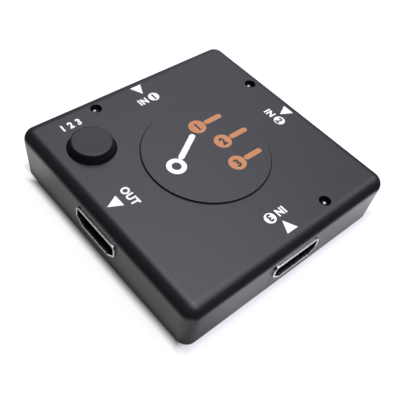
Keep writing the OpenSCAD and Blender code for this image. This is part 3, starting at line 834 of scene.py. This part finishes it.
class SWITCHBOX_OT_case(Operator):
    """Models the upper moulding of the case"""
    bl_idname = "switchbox.case"
    bl_label = "Case moulding"

    def execute(self, context):
        box = context.scene.switch_box
        size = box.case
        half = HOUSING_HIGH.x
        low = HOUSING_LOW.z
        ceiling = size.top - size.roof
        case = drafted_block("case_moulding", half, size.corner, low, size.top, size.edge, size.foot,
                             size.draft)
        hollow = drafted_block("case_hollow", half - size.wall, size.hollow_corner, low - MM / 2, ceiling,
                               size.hollow_edge, 0, size.draft)
        combine(case, hollow, "DIFFERENCE")
        disc_top = HOUSING_HIGH.z
        sunk = size.top - size.roof / 2
        disc = [(0, sunk), (size.disc, sunk)]
        disc += arc((size.disc - size.disc_edge, disc_top - size.disc_edge), size.disc_edge, 0, 90, steps=4)
        disc.append((0, disc_top))
        added = [spun("case_disc", disc, (0, 0), DISC_STEPS)]
        screw_at = half - size.screw_inset
        boss_low = BOARD_HIGH.z
        boss_top = ceiling + MM / 2
        boss = [(size.pilot, boss_low), (size.boss, boss_low), (size.boss, boss_top), (0, boss_top),
                (0, size.pilot_top), (size.pilot, size.pilot_top), (size.pilot, boss_low)]
        for sx, sy in QUARTERS:
            added.append(spun("case_boss", boss, (screw_at * sx, screw_at * sy), BOSS_STEPS))
        combine(case, join(added, "case_added"), "UNION")
        cutters = [flared_cutter("button_hole", box.button.radius + box.button.gap, size.hole_edge,
                                 ceiling - MM, size.top, BUTTON_CENTRE)]
        lamp_hole = flared_cutter("lamp_hole", box.lamp.radius + box.lamp.gap, box.lamp.hole_edge,
                                  ceiling - MM, size.top, LENS_CENTRE)
        for side in INPUTS:
            cutters.append(turned_copy(lamp_hole, "lamp_hole_" + side, SIDES[side]))
        bpy.data.objects.remove(lamp_hole)
        notch = box_piece("notch", (-size.notch, -half - MM, low - MM),
                          (size.notch, -half + size.wall + MM, size.notch_top))
        pick(notch, "EDGE",
             lambda e: level(e, size.notch_top) and abs(e.verts[0].co.x - e.verts[1].co.x) < TINY)
        round_off(size.notch_corner, segments=6)
        clear_selection()
        for side, turn in SIDES.items():
            cutters.append(turned_copy(notch, "notch_" + side, turn))
        bpy.data.objects.remove(notch)
        combine(case, join(cutters, "case_cutters"), "DIFFERENCE")
        tidy(case)
        smooth(case)
        dress(case, "case", "case_plastic", "upper_housing")
        return {"FINISHED"}


class SWITCHBOX_OT_button(Operator):
    """Models the selector button"""
    bl_idname = "switchbox.button"
    bl_label = "Selector button"

    def execute(self, context):
        box = context.scene.switch_box
        size = box.button
        case_top = box.case.top
        top = BUTTON_HIGH.z
        low = BUTTON_LOW.z
        outer = (BUTTON_HIGH.x - BUTTON_LOW.x) / 2
        inner = size.radius - size.wall
        ceiling = top - size.wall
        drawn_in = inner - math.tan(size.slope) * (ceiling - case_top)
        flange_top = case_top - box.case.roof - size.play
        flange_low = flange_top - size.flange
        soft = size.soft
        profile = [(0, low), (size.stem - soft, low), (size.stem, low + soft), (size.stem, ceiling - soft)]
        profile += [(size.stem + soft, ceiling), (drawn_in, ceiling), (inner, case_top)]
        profile += [(inner, flange_low + soft), (inner + soft, flange_low)]
        profile += arc((outer - soft, flange_low + soft), soft, -90, 0, steps=3)
        profile += arc((outer - soft, flange_top - soft), soft, 0, 90, steps=3)
        profile += [(size.radius + soft, flange_top), (size.radius, flange_top + soft)]
        profile.append((size.radius, case_top))
        rise = top - case_top - size.edge
        flat = size.radius - math.tan(size.slope) * rise - size.edge / math.cos(size.slope)
        profile += arc((flat, top - size.edge), size.edge, math.degrees(size.slope), 90, steps=8)
        for share in DISH_RINGS:
            profile.append((flat * share, top - size.dish * (1 - share * share)))
        profile.append((0, top - size.dish))
        button = spun("button_moulding", profile, BUTTON_CENTRE, BUTTON_STEPS)
        smooth(button)
        dress(button, "button", "button_plastic", "button_cap")
        return {"FINISHED"}


def socket_loop(name, size, low, grow, y):
    """Edge loop round a socket's opening at one depth, wide side up, grown by a wall, with round corners."""
    run = (size.width - size.low_width) / 2
    rise = size.height - size.side
    slant = math.hypot(run, rise)
    lean = math.atan2(rise, run)
    knee = low + rise - grow * (slant - rise) / run
    foot = size.low_width / 2 + grow * (slant - run) / rise
    top = low + size.height + grow
    piece = start(bpy.ops.mesh.primitive_plane_add, name, size=1, rotation=(math.pi / 2, 0, 0))
    pick_all()
    full = (size.width + 2 * grow, 1, size.height + 2 * grow)
    bpy.ops.transform.resize(value=full, center_override=(0, 0, 0))
    shift(y=y, z=low + size.height / 2)
    for sign in (1, -1):
        pick_all()
        slice_at((sign * foot, y, low - grow), (sign * rise, 0, -run), clear_outer=True)
    corners = ((top, math.pi / 2), (knee, math.pi / 2 + lean), (low - grow, math.pi - lean))
    for height, angle in corners:
        pick(piece, "VERT", lambda v: abs(v.co.z - height) < TINY)
        round_off((size.corner + grow) / math.tan(angle / 2), segments=5, affect="VERTICES")
    pick_all()
    bpy.ops.mesh.delete(type="ONLY_FACE")
    clear_selection()
    return piece


def holding_spring(name, size, x, front, wall, inward):
    """Leaf spring cut from the shell: a strip rooted in front that bends into the opening."""
    root = front + size.spring_start
    side = size.spring_width / 2
    skin = size.spring_steel / 2
    strip = box_piece(name, (x - side, root - size.rim, wall - skin),
                      (x + side, root + size.spring_length, wall + skin))
    for share, _ in SPRING_BENDS[:-1]:
        pick_all()
        slice_at((0, root + share * size.spring_length, 0), (0, 1, 0))
    for share, bend in SPRING_BENDS:
        place = root + share * size.spring_length
        pick(strip, "VERT", lambda v: abs(v.co.y - place) < TINY)
        shift(z=inward * bend * size.spring_rise)
    tidy(strip)
    return strip


class SWITCHBOX_OT_sockets(Operator):
    """Models the steel shells of the four sockets"""
    bl_idname = "switchbox.sockets"
    bl_label = "Socket shells"

    def execute(self, context):
        size = context.scene.switch_box.socket
        shell = self.fold_shell(size)
        self.add_springs(shell, size)
        shell = join([shell] + self.legs(size), "socket_steel_in3")
        smooth(shell)
        for side, turn in SIDES.items():
            made = turned_copy(shell, "socket_steel_" + side, turn) if turn else shell
            dress(made, "case", "socket_steel", "socket_shell_" + side)
        return {"FINISHED"}

    def fold_shell(self, size):
        """Shell with its rim, bridged from loops round the opening"""
        front = SHELL_LOW.y
        back = SHELL_HIGH.y
        low = BOARD_HIGH.z + size.steel
        outer = size.steel + size.rim
        # bridging loops of one plane can twist them, so a small slope parts each pair
        slope = 0.03 * MM
        section = [(0, back - slope)]
        section += arc((size.lip, front + size.lip), size.lip, 180, 270, steps=3)
        section += arc((outer - size.lip, front + size.lip + slope), size.lip, 270, 360, steps=3)
        section += [(outer, front + size.rim_length), (size.steel, front + size.rim_length + size.rim)]
        section += [(size.steel, back)]
        loops = [socket_loop("socket_loop", size, low, grow, y) for grow, y in section]
        count = len(loops[0].data.vertices)
        shell = join(loops, "socket_steel")
        edit(shell)
        for i in range(len(section)):
            pair = (i, (i + 1) % len(section))
            pick(shell, "EDGE",
                 lambda e: len(e.link_faces) < 2 and all(v.index // count in pair for v in e.verts))
            bpy.ops.mesh.bridge_edge_loops()
        tidy(shell)
        return shell

    def add_springs(self, shell, size):
        """Cuts the windows of the holding springs and adds the springs"""
        front = SHELL_LOW.y
        low = BOARD_HIGH.z + size.steel
        top_wall = low + size.height + size.steel / 2
        low_wall = low - size.steel / 2
        places = [(s * size.spring_place, top_wall, -1) for s in (-1, 1)]
        places += [(s * size.spring_low, low_wall, 1) for s in (-1, 1)]
        root = front + size.spring_start
        side = size.spring_width / 2 + size.rim
        windows = []
        for x, wall, inward in places:
            windows.append(box_piece("spring_window", (x - side, root, wall - size.steel),
                                     (x + side, root + size.spring_length + 2 * size.rim, wall + size.steel)))
            clear_selection()
        combine(shell, join(windows, "spring_windows"), "DIFFERENCE")
        strips = [holding_spring("spring", size, x, front, wall, inward) for x, wall, inward in places]
        join([shell] + strips, "socket_steel")

    def legs(self, size):
        """Solder legs on both sides of the shell"""
        made = []
        inner = size.width / 2
        low = SHELL_LOW.z
        high = BOARD_HIGH.z + size.steel + size.height - size.side / 2
        for sign in (-1, 1):
            for i in (0, 1):
                y = SHELL_LOW.y + size.leg_first + i * size.leg_pitch
                xs = sorted((sign * inner, sign * (inner + size.steel)))
                leg = box_piece("leg", (xs[0], y - size.leg_length / 2, low),
                                (xs[1], y + size.leg_length / 2, high))
                pick(leg, "EDGE", lambda e: level(e, low))
                round_off(size.lip, segments=2)
                tidy(leg)
                made.append(leg)
        return made


class SWITCHBOX_OT_lamps(Operator):
    """Models the pilot lamps"""
    bl_idname = "switchbox.lamps"
    bl_label = "Pilot lamps"

    def execute(self, context):
        size = context.scene.switch_box.lamp
        low = LENS_LOW.z
        top = LENS_HIGH.z
        ledge = low + size.rim_height
        soft = size.soft
        profile = [(0, low), (size.rim - soft, low), (size.rim, low + soft), (size.rim, ledge - soft),
                   (size.rim - soft, ledge), (size.radius, ledge)]
        profile += arc((0, top - size.radius), size.radius, 0, 90, steps=12)
        lens = spun("lamp_lens", profile, LENS_CENTRE, LENS_STEPS)
        smooth(lens)
        for side in INPUTS:
            made = turned_copy(lens, "lamp_lens_" + side, SIDES[side])
            dress(made, "case", "lamp_resin", "led_lens_" + side)
            self.glint(side, size)
        bpy.data.objects.remove(lens)
        return {"FINISHED"}

    def glint(self, side, size):
        """Painted highlight: a pale spot on a lens"""
        low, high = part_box("led_lens_" + side)
        spread = math.degrees(math.asin(size.glint / size.radius))
        profile = [(0, size.radius - size.glint)]
        profile += arc((0, 0), size.radius + size.film, 90 - spread, 90, steps=4)
        # the pale cap is a painted highlight, tilted to where the highlight falls
        spot = spun("lamp_glint_" + side, profile, (0, 0), GLINT_STEPS)
        tilt_x, tilt_y = GLINT_TILTS[side]
        spot.rotation_euler = (math.radians(tilt_x), math.radians(tilt_y), 0)
        spot.location = ((low.x + high.x) / 2, (low.y + high.y) / 2, high.z - size.radius)
        settle(spot)
        smooth(spot)
        dress(spot, "case", "lamp_resin", finish="lamp_glint")


def softened_copy(node, name, width, body, slot):
    """Copy of a CAD node with its doubles merged and its edges rounded, which stands for the node."""
    copy = copy_of(frame["nodes"][node], name)
    for key in list(copy.keys()):
        del copy[key]
    copy.parent = None
    edit(copy)
    pick_all()
    bpy.ops.mesh.remove_doubles(threshold=CAD_MERGE)
    bpy.ops.mesh.customdata_custom_splitnormals_clear()
    bpy.ops.mesh.dissolve_limited(angle_limit=FLAT_ANGLE)
    clear_selection()
    if width > 0:
        modify(copy, "BEVEL", width=width, segments=2, limit_method="ANGLE", angle_limit=SHARP_ANGLE)
    smooth(copy)
    return dress(copy, body, slot, node)


class SWITCHBOX_OT_fittings(Operator):
    """Rounds the edges of the cover, the screws, the socket inserts and the switch"""
    bl_idname = "switchbox.fittings"
    bl_label = "Cover and fittings"

    def execute(self, context):
        edge = context.scene.switch_box.fitting
        softened_copy("bottom_cover", "cover_moulding", edge.cover, "case", "cover_plastic")
        softened_copy("case_screws", "screws_formed", edge.screw, "case", "screw_steel")
        for side in SIDES:
            softened_copy("socket_insert_" + side, "insert_moulding_" + side, edge.insert, "case",
                          "insert_plastic")
        softened_copy("switch_plunger", "plunger_moulding", edge.plunger, "plunger", "switch_plastic")
        dome = softened_copy("switch_dome", "dome_spring", 0, "case", "spring_bronze")
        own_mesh(dome)
        return {"FINISHED"}


# Printed marks

def ink_bar(name, first, last, width, base, film):
    """Bar of ink with round ends between two points."""
    first = Vector(first)
    last = Vector(last)
    run = last - first
    half = width / 2
    bar = box_piece(name, (-half, -half, 0), (run.length + half, half, film))
    pick(bar, "EDGE", upright)
    # a little under half the width, so that the two arcs of an end don't meet
    round_off(half * 0.999, segments=8)
    tidy(bar)
    bar.location = (first.x, first.y, base)
    bar.rotation_euler = (0, 0, math.atan2(run.y, run.x))
    return settle(bar)


def ink_ring(name, centre, outer, inner, base, film):
    """Disc or ring of ink."""
    profile = [(inner, base), (outer, base), (outer, base + film), (inner, base + film)]
    if inner > 0:
        profile.append((inner, base))
    return spun(name, profile, centre, INK_STEPS)


def ink_words(name, words, capital, base, film):
    """Plain lettering round the origin, as a closed mesh."""
    clear_selection()
    bpy.ops.object.text_add(location=(0, 0, 0))
    piece = bpy.context.view_layer.objects.active
    piece.name = name
    piece.data.body = words
    piece.data.size = capital / FONT_CAPITAL
    piece.data.offset = FONT_WEIGHT * capital
    piece.data.space_character = FONT_SPACING
    piece.data.align_x = "CENTER"
    piece.data.resolution_u = 6
    piece.data.extrude = film / 2
    bpy.ops.object.convert(target="MESH")
    piece = bpy.context.view_layer.objects.active
    piece.scale.x = FONT_WIDTH
    piece.location = (0, -capital / 2, base + film / 2)
    settle(piece)
    tidy(piece)
    return piece


def placed(piece, place, degrees=0):
    """Turns a piece about the origin and moves it to a place."""
    piece.rotation_euler = (0, 0, math.radians(degrees))
    piece.location = (*place, 0)
    return settle(piece)


class SWITCHBOX_OT_prints(Operator):
    """Prints the pointers, the labels and the selector sign"""
    bl_idname = "switchbox.prints"
    bl_label = "Printed marks"

    def execute(self, context):
        box = context.scene.switch_box
        size = box.print
        top = box.case.top
        dark = self.selector_sign(box.sign, HOUSING_HIGH.z, size.thickness)
        for side, (place, turn) in POINTERS.items():
            pieces = [self.pointer(size, top, place, turn)]
            if side in LABELS:
                pieces.append(self.label(size, top, *LABELS[side]))
                dark.append(self.digit(size, top, *LABELS[side], side[-1]))
            else:
                pieces.append(self.word(size, top, "OUT", *OUT_WORD))
            self.ink(join(pieces, "print_" + side), "white_ink")
        numbers = self.word(size, top, "1 2 3", *BUTTON_NUMBERS)
        self.ink(rename(numbers, "print_button"), "white_ink")
        self.ink(join(dark, "print_numbers"), "dark_ink")
        return {"FINISHED"}

    def ink(self, piece, finish):
        paint(piece, finish)
        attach(piece, "case")

    def word(self, size, base, words, place, turn=0):
        return placed(ink_words("word", words, size.capital, base, size.thickness), place, turn)

    def pointer(self, size, base, place, turn):
        """Triangle whose base lies at place and whose point looks along +Y before the turn"""
        half = size.pointer / 2
        piece = box_piece("pointer", (-half, 0, base), (half, size.pointer, base + size.thickness))
        for sign in (1, -1):
            pick_all()
            slice_at((sign * half, 0, 0), (sign * size.pointer, half, 0), clear_outer=True, use_fill=True)
        tidy(piece)
        return placed(piece, place, turn)

    def label(self, size, base, place, turn):
        """The word IN and a bullet for the number"""
        word = self.word(size, base, "IN", (-size.bullet_aside, 0))
        disc = ink_ring("bullet", (size.bullet_aside, 0), size.bullet, 0, base, size.thickness)
        return placed(join([word, disc], "label"), place, turn)

    def digit(self, size, base, place, turn, number):
        """Dark number on a bullet"""
        word = self.word(size, base + size.thickness, number, (size.bullet_aside, 0))
        return placed(word, place, turn)

    def selector_sign(self, size, base, film):
        """Sign of a selector: a white lever on a pivot and three orange contacts with their numbers"""
        pivot = Vector((size.aside, size.above))
        white = [ink_ring("pivot", pivot, size.pivot, size.pivot_hole, base, film)]
        orange = []
        dark = []
        for number in (1, 2, 3):
            lean = size.spread * (2 - number)
            spot = pivot + size.reach * Vector((math.cos(lean), math.sin(lean)))
            orange.append(ink_ring("contact", spot, size.contact, 0, base, film))
            dark.append(placed(ink_words("digit", str(number), size.digit, base + film, film), spot))
            tail = (spot.x + size.tail_start, spot.y)
            end = (size.tail_end - size.tail_cut * abs(2 - number), spot.y)
            orange.append(ink_bar("tail", tail, end, size.stroke, base, film))
        way = Vector((math.cos(size.spread), math.sin(size.spread)))
        white.append(ink_bar("lever", pivot + size.lever_start * way, pivot + size.lever_end * way,
                             size.stroke, base, film))
        self.ink(join(orange, "print_contacts"), "orange_ink")
        self.ink(join(white, "print_lever"), "white_ink")
        return dark


# Stage

def past_foot(place, near, far):
    """0 to 1 between two distances outside the case's foot, in millimetres."""
    foot = HOUSING_HIGH.x
    return place.ramp(foot + near * MM, foot + far * MM)


class SWITCHBOX_OT_stage(Operator):
    """Sets up the floor, the light and the camera"""
    bl_idname = "switchbox.stage"
    bl_label = "Stage"

    def execute(self, context):
        scene = context.scene
        size = scene.switch_box.stage
        scene.view_settings.view_transform = "Standard"
        self.set_camera(scene, size)
        self.lay_floor(scene.switch_box.colours.floor, size)
        self.light_room(scene, size)
        return {"FINISHED"}

    def set_camera(self, scene, size):
        """Camera that looks at the middle of the base, turned about its own axis and moved aside"""
        a, e, r = size.azimuth, size.elevation, size.roll
        back = Vector((math.sin(a) * math.cos(e), -math.cos(a) * math.cos(e), math.sin(e)))
        right = Vector((0, 0, 1)).cross(back).normalized()
        up = back.cross(right)
        turned_right = math.cos(r) * right + math.sin(r) * up
        turned_up = -math.sin(r) * right + math.cos(r) * up
        axes = Matrix((turned_right, turned_up, back)).transposed()
        place = -(axes @ Vector((size.aside, size.above, -size.distance)))
        clear_selection()
        bpy.ops.object.camera_add()
        camera = bpy.context.view_layer.objects.active
        camera.name = "camera"
        camera.data.lens = size.lens
        camera.data.sensor_width = size.film
        camera.data.clip_start = MM
        camera.matrix_world = Matrix.Translation(place) @ axes.to_4x4()
        scene.camera = camera

    def lay_floor(self, rgb, size):
        """White table top that shines for the camera and in mirrors, less round the case as a painted shadow
        """
        clear_selection()
        bpy.ops.mesh.primitive_plane_add(size=size.floor_side, location=(0, 0, 0))
        floor = bpy.context.view_layer.objects.active
        floor.name = "floor"
        finish = Finish("floor", Base_Color=rgb, Roughness=0.9, Specular_IOR_Level=0.0)
        x, y = finish.axes()
        # how far out a point lies on the left, and on the three brighter sides
        left = -1 * x
        bright = x.most(y).most(MM - y)
        camera, mirrored = finish.rays()
        # painted shadow and painted reflection: the floor's glow is shaped round the case
        lit = camera * self.shown_light(left, bright, y) + mirrored * self.mirrored_light(x, left, bright, y)
        plain = scaled((1, 1, 1), size.floor_tint[1])
        tint = finish.mix(plain, size.floor_tint, past_foot(left, 1, -3))
        # a mix stops at 1, so it gets half the light and the strength makes up for it
        half = 0.5
        tinted = finish.mix((0, 0, 0), tint, half * lit)
        finish.set(Emission_Color=tinted, Emission_Strength=size.glow / half)
        floor.data.materials.append(finish.material)

    def foot_shade(self, place):
        """Painted shade close to the foot, which grows to full light"""
        least = 0.74
        return least + (1 - least) * past_foot(place, 0, 2.5)

    def shown_light(self, left, bright, y):
        """Light that the camera sees: a narrow painted shadow round the foot and a wider one on the left"""
        bright_floor = past_foot(bright, -3, 0.2) * self.foot_shade(bright)
        drawn_in = 0.35 * MM * (-1 * y).ramp(5 * MM, HOUSING_HIGH.x)
        left_floor = past_foot(left + drawn_in, -0.9, 2)
        left_corner = past_foot(left, -3, 0.2) * y.ramp(26 * MM, 30 * MM)
        # the corner lies further out than the sides, by this much
        corner_reach = 11.8 * MM
        front = (left - y) * math.sqrt(0.5) - corner_reach
        front_corner = past_foot(front, -1.2, 0.8) * self.foot_shade(front)
        return bright_floor.most(left_floor).most(left_corner).most(front_corner)

    def mirrored_light(self, x, left, bright, y):
        """Painted reflection for the walls: light that changes along each wall and with the distance from it
        """
        along = 0.33 + 0.65 * x.ramp(-31 * MM, -13 * MM) + 0.6 * x.ramp(22 * MM, 44 * MM)
        rise = 0.48 + 0.9 * past_foot(bright, -2, 9)
        bright_floor = past_foot(bright, -3, 0.2) * along * rise * past_foot(bright, 15, 5)
        left_along = 0.56 + 0.6 * y.ramp(23 * MM, 33 * MM)
        left_floor = past_foot(left, -1, 2.3) * left_along * past_foot(left, 22, 9)
        return bright_floor.most(left_floor)

    def light_room(self, scene, size):
        """Dim room with soft boxes overhead; the camera itself sees white"""
        world = bpy.data.worlds.new("room")
        scene.world = world
        world.use_nodes = True
        room = Nodes(world.node_tree)
        way = room.node("ShaderNodeTexCoord", output="Generated")
        strength = sum(brightness for _, brightness in SOFT_BOXES)
        share = 0
        for place, brightness in SOFT_BOXES:
            box = tuple(Vector(place).normalized())
            near = room.node("ShaderNodeVectorMath", {"operation": "DOT_PRODUCT"}, {0: way, 1: box}, "Value")
            share = brightness / strength * near.ramp(math.cos(size.box_reach), 1) + share
        light = room.mix(scaled((1, 1, 1), size.ambient / strength), size.box_tint, share)
        rays = room.node("ShaderNodeLightPath", output="Is Camera Ray")
        shown = room.mix(light, scaled((1, 1, 1), 1 / strength), rays)
        shade = room.node("ShaderNodeBackground", values={"Color": shown, "Strength": strength})
        output = room.tree.nodes.new("ShaderNodeOutputWorld")
        room.tree.links.new(shade.socket, output.inputs["Surface"])
        self.add_lamp("key_lamp", size.key_place, size.key_side, size.key_power)

    def add_lamp(self, name, place, side, power):
        clear_selection()
        bpy.ops.object.light_add(type="AREA", location=place)
        lamp = bpy.context.view_layer.objects.active
        lamp.name = name
        lamp.data.shape = "SQUARE"
        lamp.data.size = side
        lamp.data.energy = power
        lamp.rotation_euler = (-Vector(place)).to_track_quat("-Z", "Y").to_euler()


class SWITCHBOX_PT_panel(Panel):
    """Lists the pieces of the switch box"""
    bl_idname = "SWITCHBOX_PT_panel"
    bl_label = "Switch box"
    bl_space_type = "VIEW_3D"
    bl_region_type = "UI"
    bl_category = "Switch Box"

    def draw(self, context):
        for step in STEPS:
            self.layout.operator(step.bl_idname)


STEPS = (SWITCHBOX_OT_finishes, SWITCHBOX_OT_case, SWITCHBOX_OT_button, SWITCHBOX_OT_sockets,
         SWITCHBOX_OT_lamps, SWITCHBOX_OT_fittings, SWITCHBOX_OT_prints, SWITCHBOX_OT_stage)
GROUPS = (CaseSizes, ButtonSizes, SocketSizes, LampSizes, FittingSizes, PrintSizes, SignSizes, Colours,
          StageSizes, SwitchBox)
CLASSES = GROUPS + STEPS + (SWITCHBOX_PT_panel,)


def register():
    for kind in CLASSES:
        bpy.utils.register_class(kind)
    bpy.types.Scene.switch_box = PointerProperty(type=SwitchBox)


def unregister():
    del bpy.types.Scene.switch_box
    for kind in reversed(CLASSES):
        bpy.utils.unregister_class(kind)


def main():
    register()
    for step in STEPS:
        group, name = step.bl_idname.split(".")
        getattr(getattr(bpy.ops, group), name)()
    clear_selection()


if __name__ == "__main__":
    main()
